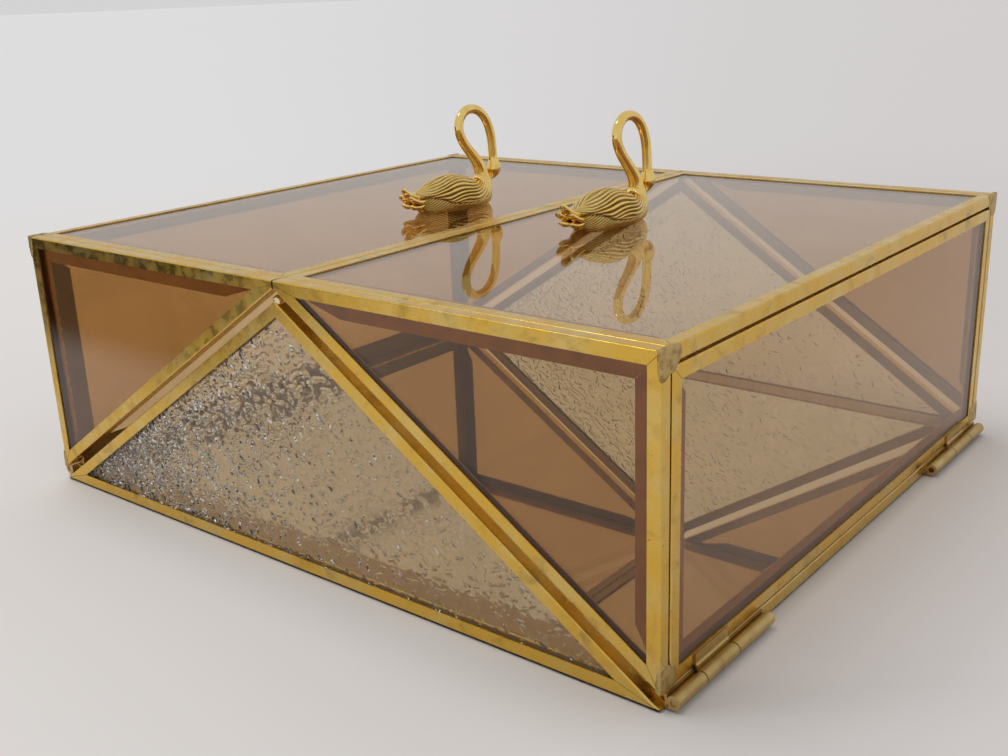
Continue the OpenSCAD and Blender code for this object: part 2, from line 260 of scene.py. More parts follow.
def make_smoked_glass(name, axis):
    """Bronze float glass, with the faint haze of wiping on it and dark edges. axis runs through it."""
    material, tree, skin = start_material(name)
    haze = in_patches(tree, place(tree), scale=38, detail=5, low=0.4, high=0.75, rough=0.6, warp=0.6)
    colour = blend_colours(tree, haze, SMOKE_TINT, SMOKE_HAZY)
    face_on = maths(tree, "ABSOLUTE", along_axis(tree, "Normal", axis))
    on_edge = stretch_range(tree, face_on, *FACING, to_low=1, to_high=0)
    make_clear(tree, skin, blend_colours(tree, on_edge, colour, PANE_EDGE), rough=0.0, shadow=SMOKE_SHADOW)
    return material


def make_pebbled_glass():
    """Clear glass rolled with a crinkled face."""
    material, tree, skin = start_material("pebbled_glass")
    where = place(tree)
    cloud = in_patches(tree, where, scale=90, detail=4, low=0.35, high=0.7)
    colour = blend_colours(tree, cloud, PEBBLED_TINT, PEBBLED_GREENER)
    orange_peel = bump(tree, cloudy(tree, where, scale=500, detail=2), strength=0.05, distance=0.2 * MM)
    feed(tree, skin, {"Normal": orange_peel})
    make_clear(tree, skin, colour, rough=0.10, shadow=PEBBLED_SHADOW)
    return material


def make_mirror():
    """Silvered glass, with faint wiping marks."""
    material, tree, skin = start_material("floor_mirror_silver")
    where = place(tree)
    marks = in_patches(tree, where, scale=45, detail=6, low=0.4, high=0.7, rough=0.6, warp=0.8)
    colour = blend_colours(tree, marks, MIRROR_SILVER, MIRROR_WIPED)
    rough = in_patches(tree, where, scale=70, detail=5, low=0.35, high=0.8, to_low=0.0, to_high=0.02)
    feed(tree, skin, {"Base Color": colour, "Metallic": 1, "Roughness": rough})
    return material


# Solder, gold and felt


def make_solder(name, bright, dark, rough_low, rough_high):
    """Tinned solder, darker where flux has stayed."""
    material, tree, skin = start_material(name)
    where = place(tree)
    blotches = in_patches(tree, where, scale=420, detail=5, low=0.46, high=0.70, rough=0.6)
    colour = blend_colours(tree, blotches, bright, dark)
    rough = in_patches(
        tree, where, scale=600, detail=4, low=0.3, high=0.7, to_low=rough_low, to_high=rough_high
    )
    lumps = bump(tree, cloudy(tree, where, scale=800, detail=4), strength=0.35, distance=0.2 * MM)
    feed(tree, skin, {"Base Color": colour, "Metallic": 1, "Roughness": rough, "Normal": lumps})
    return material


def make_swan_gold():
    """Polished gold-coloured brass, with painted shade that darkens it brown in the grooves between the
    feathers, below the wing and in the tail's hollows.
    """
    material, tree, skin = start_material("polished_gold_brass")
    where = place(tree)
    groove = put(tree, "ShaderNodeAttribute", attribute_name="groove").outputs["Fac"]
    cloud = in_patches(tree, where, scale=350, detail=4, low=0.35, high=0.7)
    colour = blend_colours(tree, groove, blend_colours(tree, cloud, SWAN_GOLD, SWAN_DEEP), SWAN_GROOVE_SHADE)
    rough = in_patches(tree, where, scale=700, detail=4, low=0.3, high=0.75, to_low=0.03, to_high=0.08)
    casting = bump(tree, cloudy(tree, where, scale=450, detail=3), strength=0.04, distance=0.2 * MM)
    feed(tree, skin, {"Base Color": colour, "Metallic": 1, "Roughness": rough, "Normal": casting})
    return material


def make_felt():
    """Black felt: matted fibres with a soft sheen."""
    material, tree, skin = start_material("black_felt")
    where = place(tree)
    lint = in_patches(tree, where, scale=1800, detail=5, low=0.45, high=0.8, rough=0.7)
    colour = blend_colours(tree, lint, FELT_BLACK, FELT_LINT)
    matted = cloudy(tree, where, scale=2600, detail=4, rough=0.7, warp=1.5)
    fibres = bump(tree, matted, strength=0.6, distance=0.2 * MM)
    feed(tree, skin, {"Base Color": colour, "Roughness": 0.95, "Normal": fibres})
    feed(tree, skin, {"Sheen Weight": 0.4, "Sheen Roughness": 0.5})
    return material


# Floor and room, as materials

# The way to the right of the picture, along the floor
RIGHTWARD = (0.78, 0.62, 0)
# Close to the box the floor's two sides blend into each other over about this distance
SIDES_BLEND = 0.25
# How far to the right, against the distance, the right side's painted shade begins and is full
RIGHT_SHADE_SPAN = (-0.35, 0.40)
# The distances at which the far colours begin and are full
FAR_OFF = (0.3, 0.9)


def make_stage_white():
    """The pale floor, with painted shade that makes it a little darker to the right of the box than to the
    left, cooler far off.
    """
    material, tree, skin = start_material("stage_white")
    where = place(tree)
    far_off = put(tree, "ShaderNodeVectorMath", {0: where}, operation="LENGTH").outputs["Value"]
    sideways = put(tree, "ShaderNodeVectorMath", {0: where, 1: RIGHTWARD}, operation="DOT_PRODUCT")
    lean = maths(tree, "DIVIDE", sideways.outputs["Value"], maths(tree, "ADD", far_off, SIDES_BLEND))
    right_shade = stretch_range(tree, lean, *RIGHT_SHADE_SPAN)
    near = blend_colours(tree, right_shade, FLOOR_LEFT, FLOOR_RIGHT_SHADED)
    far = blend_colours(tree, right_shade, FAR_LEFT, FAR_RIGHT_SHADED)
    colour = blend_colours(tree, stretch_range(tree, far_off, *FAR_OFF), near, far)
    feed(tree, skin, {"Base Color": colour, "Roughness": 0.9, "Specular IOR Level": 0.1})
    return material


def make_room_dark():
    """The dim end of the room, which the metal and glass reflect. It fades out at its near edge."""
    material, tree, skin = start_material("room_dark")
    cloud = in_patches(tree, place(tree), scale=4, detail=3, low=0.3, high=0.7)
    colour = blend_colours(tree, cloud, ROOM_DARK, ROOM_DARKEST)
    feed(tree, skin, {"Base Color": colour, "Roughness": 1, "Specular IOR Level": 0})
    share = stretch_range(tree, along_axis(tree, "Object", 1), *DIM_FADE, to_low=1, to_high=0)
    mix_shaders(tree, share, put(tree, "ShaderNodeBsdfTransparent"), skin)
    return material


# Mesh helpers


def add_object(name, mesh, material):
    piece = bpy.data.objects.new(name, mesh)
    bpy.context.scene.collection.objects.link(piece)
    mesh.materials.append(material)
    return piece


def mesh_from(name, points, faces, smooth=True):
    mesh = bpy.data.meshes.new(name)
    mesh.from_pydata([tuple(p) for p in points], [], faces)
    mesh.polygons.foreach_set("use_smooth", [smooth] * len(mesh.polygons))
    mesh.update()
    return mesh


def mesh_from_bmesh(name, bm):
    """A smooth mesh of what bm holds, which is freed."""
    bmesh.ops.recalc_face_normals(bm, faces=bm.faces)
    mesh = bpy.data.meshes.new(name)
    bm.to_mesh(mesh)
    bm.free()
    mesh.polygons.foreach_set("use_smooth", [True] * len(mesh.polygons))
    return mesh


def ease(value, low, high):
    """0 below low, 1 above high, smooth between."""
    t = min(max((value - low) / (high - low), 0), 1)
    return t * t * (3 - 2 * t)


# Pebbled panes

PEBBLE_STEP = 0.26 * MM
# How far from the pane's edge, under the came, the relief begins and is full
PEBBLE_FADE = (1.6 * MM, 3.0 * MM)
# Two faces that meet at more than this angle meet at a sharp edge
SHARP_ANGLE = math.radians(60)
CUT_TOLERANCE = 1e-7

# From here on, the relief is in millimetres and its waves in radians for each millimetre.
# Waves that push the pattern about: how quick, and how far they push
WANDER_WAVES = [(0.35, 1.1), (0.9, 0.55), (2.1, 0.2)]
# The face is crumpled to the left of about this x and smoother to the right of it
CRUMPLED_TO = -12
CRUMPLE_WAVER = 9
CRUMPLE_BLEND = 9
SWELL_DEPTH = 0.012
# The centre of a cell's pit or crease stays this share of the cell away from its sides
CELL_MARGIN = 0.1
# The pits: their cell, how much they turn, and the middle of that turn among random numbers
PIT_CELL = 2.0
PIT_TURN = 0.9
PIT_TURN_MIDDLE = 0.4
# How far a pit reaches: at the least, by chance, and more where crumpled
PIT_REACH = (0.40, 0.42, 0.18)
# Its length and its width, against its reach
PIT_LENGTH = 1.3
PIT_WIDTH = 0.75
# How deep it is, against its reach: at the least, and by chance
PIT_DEPTH = (0.34, 0.28)
# The lower, the steeper its sides
PIT_BOWL = 0.55
# The share of cells with a pit: everywhere, and more where crumpled
PIT_SHARE = (0.70, 0.26)
# The creases: the cells that they run between, the offset from the pits' cells, how much flatter
# than wide they are, and the creases' own width, depth and sharpness
CREASE_CELL = 3.6
CREASE_OFFSET = 40
CREASE_FLATTEN = 1.25
CREASE_WIDTH = 0.5
CREASE_DEPTH = 0.17
CREASE_SHARP = 1.2
# Between the creases the face is domed: it falls away from a cell's centre by this share, this far
DOME_FALL = 0.03
DOME_REACH = 1.8
# Further than any cell's centre
FAR_AWAY = 9.0


def wander(x, z, rng):
    """The places pushed about by slow and quick waves, so that outlines come out irregular."""
    for wave, swing in WANDER_WAVES:
        turns = rng.uniform(0, 2 * math.pi, 4)
        # Each wave runs its own slanting way over the pane
        across = swing * np.sin(wave * (0.7 * x + 1.2 * z) + turns[0]) * np.cos(wave * 0.8 * x + turns[1])
        up = swing * np.sin(wave * (1.3 * x - 0.6 * z) + turns[2]) * np.cos(wave * 0.9 * z + turns[3])
        x, z = x + across, z + up
    return x, z


def cell_neighbours(x, z, cell, rng):
    """For each of the nine cells round each place: its own random numbers and the way to its centre."""
    column, row = np.floor(x / cell).astype(int), np.floor(z / cell).astype(int)
    low_column, low_row = column.min() - 1, row.min() - 1
    table = rng.uniform(0, 1, (column.max() - low_column + 2, row.max() - low_row + 2, 6))
    spread = 1 - 2 * CELL_MARGIN
    for across in (-1, 0, 1):
        for up in (-1, 0, 1):
            lot = table[column + across - low_column, row + up - low_row]
            to_x = x - (column + across + CELL_MARGIN + spread * lot[:, 0]) * cell
            to_z = z - (row + up + CELL_MARGIN + spread * lot[:, 1]) * cell
            yield lot, to_x, to_z


def pit_depth(x, z, crumpled, rng):
    """Small oval pits, more of them and larger ones where the face is crumpled."""
    depth = np.zeros_like(x)
    for lot, to_x, to_z in cell_neighbours(x, z, PIT_CELL, rng):
        tilt = PIT_TURN * (lot[:, 2] - PIT_TURN_MIDDLE)
        along = to_x * np.cos(tilt) + to_z * np.sin(tilt)
        over = to_z * np.cos(tilt) - to_x * np.sin(tilt)
        reach = PIT_REACH[0] + PIT_REACH[1] * lot[:, 3] + PIT_REACH[2] * crumpled
        near = (along / (PIT_LENGTH * reach)) ** 2 + (over / (PIT_WIDTH * reach)) ** 2
        there = lot[:, 4] < PIT_SHARE[0] + PIT_SHARE[1] * crumpled
        pit = (PIT_DEPTH[0] + PIT_DEPTH[1] * lot[:, 5]) * reach * np.maximum(0, 1 - near) ** PIT_BOWL
        depth = np.maximum(depth, there * pit)
    return depth


def crease_depth(x, z, rng):
    """A net of creases with a low dome in each of its meshes."""
    nearest, second = np.full_like(x, FAR_AWAY), np.full_like(x, FAR_AWAY)
    for _, to_x, to_z in cell_neighbours(x + CREASE_OFFSET, z, CREASE_CELL, rng):
        far = np.hypot(to_x, to_z * CREASE_FLATTEN)
        second = np.minimum(second, np.maximum(nearest, far))
        nearest = np.minimum(nearest, far)
    crease = np.maximum(0, 1 - (second - nearest) / CREASE_WIDTH) ** CREASE_SHARP
    dome = DOME_FALL * np.minimum(nearest, DOME_REACH) ** 2 / DOME_REACH
    return CREASE_DEPTH * crease + dome


def pebble_depth(x, z, seed):
    """How deep the rolled face lies at places in millimetres: small pits everywhere, and to the
    left larger ones with a net of creases among them."""
    rng = np.random.default_rng(seed)
    x_way, z_way = wander(x, z, rng)
    turns = rng.uniform(0, 2 * math.pi, 3)
    patchy = np.sin(0.06 * x + turns[0]) + np.sin(0.11 * z + 0.05 * x + turns[1])
    patchy += np.sin(0.17 * (x - z) + turns[2])
    crumpled = 1 / (1 + np.exp((x - CRUMPLED_TO - CRUMPLE_WAVER * patchy) / CRUMPLE_BLEND))
    swell = SWELL_DEPTH * np.sin(1.1 * x_way + 0.5 * z_way) * np.sin(0.9 * z_way + 1)
    pits = np.maximum(swell, pit_depth(x_way, z_way, crumpled, rng))
    return pits + crumpled * crease_depth(x_way, z_way, rng)


def pebbled_pane(node, body, outward, seed, material):
    """A triangle of glass whose outer face carries the relief, fading out under the came."""
    low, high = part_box(node)
    width, height = high.x - low.x, high.z - low.z
    outer, inner = (high.y, low.y) if outward > 0 else (low.y, high.y)
    columns, rows = math.ceil(width / PEBBLE_STEP), math.ceil(height / PEBBLE_STEP)
    bm = bmesh.new()
    across = [low.x + width * i / columns for i in range(columns + 1)]
    upward = [low.z + height * j / rows for j in range(rows + 1)]
    grid = [[bm.verts.new((x, outer, z)) for x in across] for z in upward]
    for j in range(rows):
        for i in range(columns):
            bm.faces.new((grid[j][i], grid[j][i + 1], grid[j + 1][i + 1], grid[j + 1][i]))
    slope = Vector((height, 0, width / 2)).normalized()
    slants = [Vector((side * slope.x, 0, slope.z)) for side in (-1, 1)]
    apex = Vector((0, outer, high.z))
    for slant in slants:
        everything = [*bm.verts, *bm.edges, *bm.faces]
        bmesh.ops.bisect_plane(
            bm, geom=everything, plane_co=apex, plane_no=slant, clear_outer=True, dist=CUT_TOLERANCE
        )
    # Both panes have the creases towards the left lid
    spots = np.array([(v.co.x / MM, v.co.z / MM) for v in bm.verts])
    depths = pebble_depth(spots[:, 0], spots[:, 1], seed)
    for v, depth in zip(bm.verts, depths):
        to_edge = min(v.co.z - low.z, *((apex - v.co).dot(slant) for slant in slants))
        v.co.y = outer - outward * ease(to_edge, *PEBBLE_FADE) * max(0, depth) * MM
    rim = [e for e in bm.edges if e.is_boundary]
    made = bmesh.ops.extrude_edge_only(bm, edges=rim)["geom"]
    for v in (g for g in made if isinstance(g, bmesh.types.BMVert)):
        v.co.y = inner
    bmesh.ops.contextual_create(bm, geom=[e for e in bm.edges if e.is_boundary])
    mesh = mesh_from_bmesh(node + "_pebbled", bm)
    mesh.set_sharp_from_angle(angle=SHARP_ANGLE)
    pane = add_object(node + "_pebbled", mesh, material)
    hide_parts(node)
    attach(pane, body)


# Felt

FELT_CELL = 1.6 * MM
FELT_ROUNDING = 0.22 * MM
FELT_LUMP = 0.05 * MM
FELT_RAGGED = 0.12 * MM
# How quickly lumps and the ragged edge vary, for each millimetre, and how the two faces differ in it
LUMP_PACE = 0.5
RAGGED_PACE = 1.7
LUMP_SHIFT = 7
RAGGED_SHIFT = 3
ON_THE_EDGE = 1e-6


def felt_point(low, high, x, y, level):
    """A point of the felt's lower face, for level 0, or of its upper one, for level 1."""
    to_edge = min(x - low.x, high.x - x, y - low.y, high.y - y)
    rounding = FELT_ROUNDING * (1 - ease(to_edge, 0, FELT_CELL))
    lump = FELT_LUMP * noise.noise(Vector((x / MM * LUMP_PACE, y / MM * LUMP_PACE, level * LUMP_SHIFT)))
    z = high.z - rounding - abs(lump) if level else low.z + max(0, rounding + lump)
    if to_edge <= 0:
        spot = Vector((x / MM * RAGGED_PACE, y / MM * RAGGED_PACE, level * RAGGED_SHIFT))
        ragged = FELT_RAGGED * (1 + noise.noise(spot))
        x -= math.copysign(ragged, x) * (abs(x) >= high.x - ON_THE_EDGE)
        y -= math.copysign(ragged, y) * (abs(y) >= high.y - ON_THE_EDGE)
    return x, y, z


def felt_piece(material):
    """The felt under the floor: a soft-edged, slightly uneven sheet."""
    low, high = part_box("base_felt_pad")
    columns = round((high.x - low.x) / FELT_CELL)
    rows = round((high.y - low.y) / FELT_CELL)
    across = [low.x + (high.x - low.x) * i / columns for i in range(columns + 1)]
    back = [low.y + (high.y - low.y) * j / rows for j in range(rows + 1)]
    points = [felt_point(low, high, x, y, level) for level in (0, 1) for y in back for x in across]
    count = (columns + 1) * (rows + 1)
    faces = []
    for j in range(rows):
        for i in range(columns):
            a = j * (columns + 1) + i
            b, c, d = a + 1, a + columns + 2, a + columns + 1
            faces.append((d, c, b, a))
            faces.append((a + count, b + count, c + count, d + count))
    around = list(range(columns))
    around += [columns + j * (columns + 1) for j in range(rows)]
    around += [rows * (columns + 1) + i for i in range(columns, 0, -1)]
    around += [j * (columns + 1) for j in range(rows, 0, -1)]
    for k, a in enumerate(around):
        b = around[(k + 1) % len(around)]
        faces.append((a, b, b + count, a + count))
    felt = add_object("felt_under_floor", mesh_from("felt_under_floor", points, faces), material)
    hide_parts("base_felt_pad")
    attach(felt, "base")


# Solder

# How far the solder runs from a corner: across the front or top, along the side, and up
SOLDER_REACH = (1.3 * MM, 7.7 * MM, 7.2 * MM)
# 2 would round its outline like an ellipse, more makes it squarer
SOLDER_SQUARE = 3.2
SOLDER_T = 0.25 * MM
# The higher, the fuller its rounded top
SOLDER_FULL = 2.6
SOLDER_LEAST = 0.01 * MM
# How many millimetres its hidden face lies in the brass
SOLDER_SINK = 0.05
# Over the corner itself it is this share of its thickness
SOLDER_TIP = 0.8
# Its ragged outline and its lumps: the mean, how much they vary, and how quickly
SOLDER_RAGGED = (0.90, 0.20, 2.3)
SOLDER_LUMPS = (0.85, 0.15, 900)
CAP_STEPS = 14
CAP_TURNS = 16
# A lid's slanted edge, from level
LID_SLANT = math.radians(33.2)
UPWARD = Vector((0, 0, 1))


def solder_quarters(axes):
    """For each face that the solder covers: the way along one of its edges, along the other, and out.
    Each pair of faces shares an edge; a face's quarter turn runs from one of its edges to the other."""
    if len(axes) == 3:
        x, y, z = (Vector(a) for a in axes)
        return [(-y, -z, x), (-z, -x, y), (-x, -y, z)]
    x, y = (Vector(a) for a in axes)
    along_slant = -x * math.cos(LID_SLANT) + UPWARD * math.sin(LID_SLANT)
    return [(along_slant, UPWARD, y), (UPWARD, -y, x)]


def solder_spokes(quarters, closed, seed):
    """Spokes from the corner to the solder's outline: the way, how far, and outward of the face."""
    rim = [(*quarter, math.pi / 2 * k / CAP_TURNS) for quarter in quarters for k in range(CAP_TURNS)]
    if not closed:
        rim.append((*quarters[-1], math.pi / 2))
    mean, varies, pace = SOLDER_RAGGED
    spokes = []
    for start, end, normal, turn in rim:
        way = (start * math.cos(turn) + end * math.sin(turn)).normalized()
        spread = Vector(way) * pace + Vector((seed, seed * 0.7, 0))
        outline = sum(abs(w / r) ** SOLDER_SQUARE for w, r in zip(way, SOLDER_REACH))
        reach = outline ** (-1 / SOLDER_SQUARE) * (mean + varies * noise.noise(spread))
        lean = normal
        # On an edge the solder stands out from both of its faces
        if turn == 0 and (closed or start == UPWARD):
            lean = sum((n for s, e, n in quarters if start in (s, e)), Vector())
        spokes.append((way, reach, lean))
    return spokes


def solder_cap(bm, corner, axes, seed):
    """Solder run over an outer corner. axes are the outward directions of the faces that it covers:
    three at the top of a lid, where it closes round the corner, and two at the foot of a post."""
    corner = Vector(corner)
    closed = len(axes) == 3
    mean, varies, pace = SOLDER_LUMPS
    top, under = [], []
    for way, reach, lean in solder_spokes(solder_quarters(axes), closed, seed):
        line_top, line_under = [], []
        for step in range(1, CAP_STEPS + 1):
            share = step / CAP_STEPS
            spot = corner + way * reach * share
            lump = mean + varies * noise.noise(spot * pace + Vector((seed, 0, 0)))
            thick = SOLDER_T * lump * math.sqrt(max(0, 1 - share**SOLDER_FULL)) + SOLDER_LEAST
            line_top.append(bm.verts.new(spot + lean * min(thick, SOLDER_T)))
            line_under.append(bm.verts.new(spot - lean * SOLDER_SINK * MM))
        top.append(line_top)
        under.append(line_under)
    outward = sum((Vector(a) for a in axes), Vector())
    tip = bm.verts.new(corner + outward * SOLDER_T * SOLDER_TIP)
    root = bm.verts.new(corner - outward * SOLDER_SINK * MM)
    count = len(top)
    for k in range(count if closed else count - 1):
        m = (k + 1) % count
        bm.faces.new((tip, top[k][0], top[m][0]))
        bm.faces.new((root, under[m][0], under[k][0]))
        for step in range(CAP_STEPS - 1):
            bm.faces.new((top[k][step], top[k][step + 1], top[m][step + 1], top[m][step]))
            bm.faces.new((under[m][step], under[m][step + 1], under[k][step + 1], under[k][step]))
        bm.faces.new((top[k][-1], under[k][-1], under[m][-1], top[m][-1]))
    if not closed:
        for line_top, line_under in ((top[0], under[0]), (top[-1], under[-1])):
            bm.faces.new((tip, root, line_under[0], line_top[0]))
            for step in range(CAP_STEPS - 1):
                bm.faces.new((line_top[step], line_under[step], line_under[step + 1], line_top[step + 1]))


def corner_solders(side, body, material):
    """Solder on a lid's two outer corners at the top and on the two at the foot of its posts."""
    node = side + "_corner_solder"
    low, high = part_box(node)
    sign = 1 if side == "right" else -1
    out_x = (high.x if sign > 0 else -low.x) - SOLDER_T
    out_y = high.y - SOLDER_T
    bm = bmesh.new()
    for k, y_sign in enumerate((-1, 1)):
        # Any numbers that differ from corner to corner
        seed = 3.7 * k + 11 * (sign > 0) + 1.3
        place_x, place_y = sign * out_x, y_sign * out_y
        x_out, y_out = (sign, 0, 0), (0, y_sign, 0)
        solder_cap(bm, (place_x, place_y, high.z - SOLDER_T), (x_out, y_out, UPWARD), seed)
        solder_cap(bm, (place_x, place_y, low.z), (x_out, y_out), seed + 5)
    piece = add_object(node + "_run", mesh_from_bmesh(node + "_run", bm), material)
    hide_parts(node)
    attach(piece, body)


# The blob's slow swell and small lumps: the mean of its radius, how much they vary, and how quickly
BLOB_SWELL = (0.9, 0.1, 1.6)
BLOB_LUMPS = (0.02, 6)
BLOB_SUBDIVISIONS = 5


def apex_blobs(material):
    """A shiny blob of solder on the tip of each fixed triangle."""
    low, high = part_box("apex_solder_beads")
    radius = (high.x - low.x) / 2
    mean, swells, swell_pace = BLOB_SWELL
    lumps, lump_pace = BLOB_LUMPS
    bm = bmesh.new()
    for k, y_sign in enumerate((-1, 1)):
        centre = Vector((0, y_sign * (high.y - radius), high.z - radius))
        made = bmesh.ops.create_icosphere(bm, subdivisions=BLOB_SUBDIVISIONS, radius=1)["verts"]
        for v in made:
            way = v.co.normalized()
            swell = mean + swells * noise.noise(way * swell_pace + Vector((k * 5, 0, 2)))
            lump = lumps * noise.noise(way * lump_pace + Vector((0, k * 5, 2)))
            v.co = centre + way * radius * (swell + lump)
    piece = add_object("apex_solder_blobs", mesh_from_bmesh("apex_solder_blobs", bm), material)
    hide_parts("apex_solder_beads")
    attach(piece, "base")


# Swans, in millimetres and degrees

SWAN_SIDES = 288
BODY_STEPS = 9
NECK_STEPS = 6
PETAL_STEPS = 18
PETAL_SIDES = 20
# Place of each swan's tail on its lid, and its turn away from the back
SWAN_PLACES = {"left": (-31.6, -19.5, 10), "right": (31, -19.6, 7)}


def between(back_x, back_z, belly_x, belly_z, half_width, feathered):
    """A station of the body between a point of its back and one of its belly."""
    tilt = math.degrees(math.atan2(belly_x - back_x, back_z - belly_z))
    half_height = math.hypot(back_x - belly_x, back_z - belly_z) / 2
    return ((back_x + belly_x) / 2, (back_z + belly_z) / 2, tilt, half_height, half_width, feathered)


def bare(x, z, tilt, half_height, half_width=None):
    """A station without feathers, round unless its half width is given."""
    return (x, z, tilt, half_height, half_width or half_height, 0)


SWAN_STATIONS = [
    between(5.6, 4.8, 6.2, 3.6, 0.8, 0.1),
    between(4.9, 5.5, 6.0, 2.6, 2.0, 0.5),
    between(4.6, 6.0, 6.2, 1.6, 3.0, 0.8),
    between(4.9, 6.2, 6.8, 0.6, 3.6, 1),
    between(6.0, 6.4, 8.2, -0.8, 4.3, 1),
    between(8.2, 7.3, 10, -1.8, 5.6, 1),
    between(12.4, 9.2, 13.2, -2, 6.8, 1),
    between(16.6, 10.3, 16.8, -2, 7.5, 1),
    between(20.8, 10.4, 21, -2, 7.6, 1),
    between(25, 9.4, 26, -1.8, 7, 0.95),
    between(28.4, 8.4, 31, -1.2, 5.6, 0.7),
    between(30.4, 8.6, 35, 0.6, 4.2, 0.3),
    between(30.8, 10.1, 36, 5.4, 3, 0.05),
    bare(32.7, 10.4, 97, 2.35),
    bare(31.5, 13.4, 119, 2.0),
    bare(28.7, 17, 130, 1.72),
    bare(25.8, 20.6, 123, 1.58),
    bare(24.1, 24.4, 98, 1.5),
    bare(24.5, 28.1, 68, 1.5),
    bare(27, 30.7, 27, 1.48),
    bare(30.4, 31.1, -10, 1.48),
    bare(33.6, 29.6, -43, 1.48),
    bare(36, 26.5, -62, 1.48),
    bare(37.4, 22.4, -78, 1.48),
    bare(37.9, 18, -86, 1.48),
    bare(38.1, 14.2, -86, 1.55),
    bare(38.4, 12, -88, 2.2, 2.1),
    bare(38.2, 10.2, -104, 2.25, 2.15),
    bare(37.7, 8.8, -127, 1.35, 1.45),
    bare(36.9, 7.9, -135, 0.6, 0.9),
    bare(36.2, 7.2, -135, 0.2, 0.45),
]
NECK_FROM = 13


def spline(p0, p1, p2, p3, t):
    """A smooth curve that passes p1 when t is 0 and p2 when it is 1."""
    linear = (p2 - p0) * t
    square = (2 * p0 - 5 * p1 + 4 * p2 - p3) * t * t
    cubic = (3 * p1 - p0 - 3 * p2 + p3) * t**3
    return (2 * p1 + linear + square + cubic) / 2


def swan_rings():
    """Rings along the swan, each with how far along the stations it lies."""
    stations = np.array(SWAN_STATIONS)
    last = len(stations) - 1
    rings = []
    for s in range(last):
        steps = BODY_STEPS if s < NECK_FROM else NECK_STEPS
        four = [stations[min(max(k, 0), last)] for k in (s - 1, s, s + 1, s + 2)]
        rings += [(s + k / steps, spline(*four, k / steps)) for k in range(steps)]
    rings.append((last, stations[last]))
    return rings


# The wing's lower edge, from the middle of the back: at its ends, further down between, less at the tail
WING_EDGE = 84
WING_DIP = 22
WING_RISE = 38
# The stations over which it dips and rises
DIP_FROM = 5
DIP_LENGTH = 6.5
RISE = (4.2, 6.8)
# Where the wing begins and is full, above and below that edge
WING_BLEND = (-3, 2)
# The turn from one long feather to the next, and how much they sway: by how many degrees, how quickly
# along the swan, and from where
LONG_FEATHER = 11
LONG_SWAYS = [(15, 0.62, 0.4), (4, 1.9, 0)]
# The fine ones below the wing slant: how much their pattern moves on with the turn and along the
# swan, and how much of it makes one feather
FINE_SLANT = (0.8, 11)
FINE_FEATHER = 7.5
# The lower, the rounder a ridge and the sharper the valley beside it
ROUND_RIDGE = 0.6
WING_HEIGHT = 0.75
LONG_HEIGHT = 0.85
FINE_HEIGHT = 0.45
HOLLOW_DEPTH = 0.35
HOLLOW_WIDTH = 4


def from_back(angle):
    """The turn from the middle of the back, which is at 90, down either flank."""
    return abs((angle - 90 + 180) % 360 - 180)


def feather_relief(along, angle):
    """The height of the plumage at an angle round a ring, and its share of painted shade from 0 to 1, deepest
    in the grooves.
    """
    from_top = from_back(angle)
    dip = WING_DIP * math.sin(math.pi * min(max((along - DIP_FROM) / DIP_LENGTH, 0), 1))
    edge = WING_EDGE + dip - WING_RISE * (1 - ease(along, *RISE))
    on_wing = 1 - ease(from_top, edge + WING_BLEND[0], edge + WING_BLEND[1])
    # Long feathers sweep over the back and wing, shorter and finer ones lie below
    sway = sum(swing * math.sin(along * pace + start) for swing, pace, start in LONG_SWAYS)
    ripple = 2 * math.sin(from_top * 0.11 + along * 1.3)
    long_ridge = abs(math.sin(math.pi * (from_top + sway + ripple) / LONG_FEATHER))
    fine_way = from_top * FINE_SLANT[0] + along * FINE_SLANT[1]
    fine_ridge = abs(math.sin(math.pi * fine_way / FINE_FEATHER))
    long_height = long_ridge**ROUND_RIDGE - 1
    fine_height = fine_ridge**ROUND_RIDGE - 1
    # A hollow runs under the wing's edge, darkened with painted shade
    under = math.exp(-(((from_top - edge) / HOLLOW_WIDTH) ** 2))
    wing = on_wing * (WING_HEIGHT + LONG_HEIGHT * long_height)
    height = wing + (1 - on_wing) * FINE_HEIGHT * fine_height - HOLLOW_DEPTH * under
    # Painted shade: below the wing the body is darker all over, darkest in its fine grooves
    below = (1 - on_wing) * (0.3 + 0.7 * (1 - fine_ridge) ** 1.1)
    groove = max(on_wing * (1 - long_ridge) ** 0.9, below, 0.9 * under)
    return height, groove


def swan_points():
    """Points of the body and neck, and the share of painted shade on each, deepest in the grooves."""
    points, shades = [], []
    for along, ring in swan_rings():
        x, z, tilt, half_height, half_width, feathered = ring
        tilt = math.radians(tilt)
        for i in range(SWAN_SIDES):
            angle = 360 * i / SWAN_SIDES
            turn = math.radians(angle)
            height, groove = feather_relief(along, angle)
            height, groove = height * feathered, groove * feathered
            side = (half_width + height) * math.cos(turn)
            lift = (half_height + height) * math.sin(turn)
            points.append((side, x - lift * math.sin(tilt), max(0.0, z + lift * math.cos(tilt))))
            shades.append(groove)
    return points, shades


# Feathers of the tail: sideways place, reach back, height of the tip, half width
TAIL_PETALS = [
    (0.0, 0.0, 9.2, 2.4),
    (-2.4, 0.8, 6.6, 2.2),
    (2.4, 0.8, 6.6, 2.2),
    (-1.8, 1.4, 3.6, 2.2),
    (1.8, 1.4, 3.6, 2.2),
]
# How far along the swan they leave the rump, and where they bend up
PETAL_ROOT = 9.6
PETAL_BEND = 3.0
# Their thickness and the depth of the hollows beside the shaft, against their width
PETAL_THICK = 0.5
PETAL_HOLLOW = 0.17
SIDEWAYS = Vector((1, 0, 0))


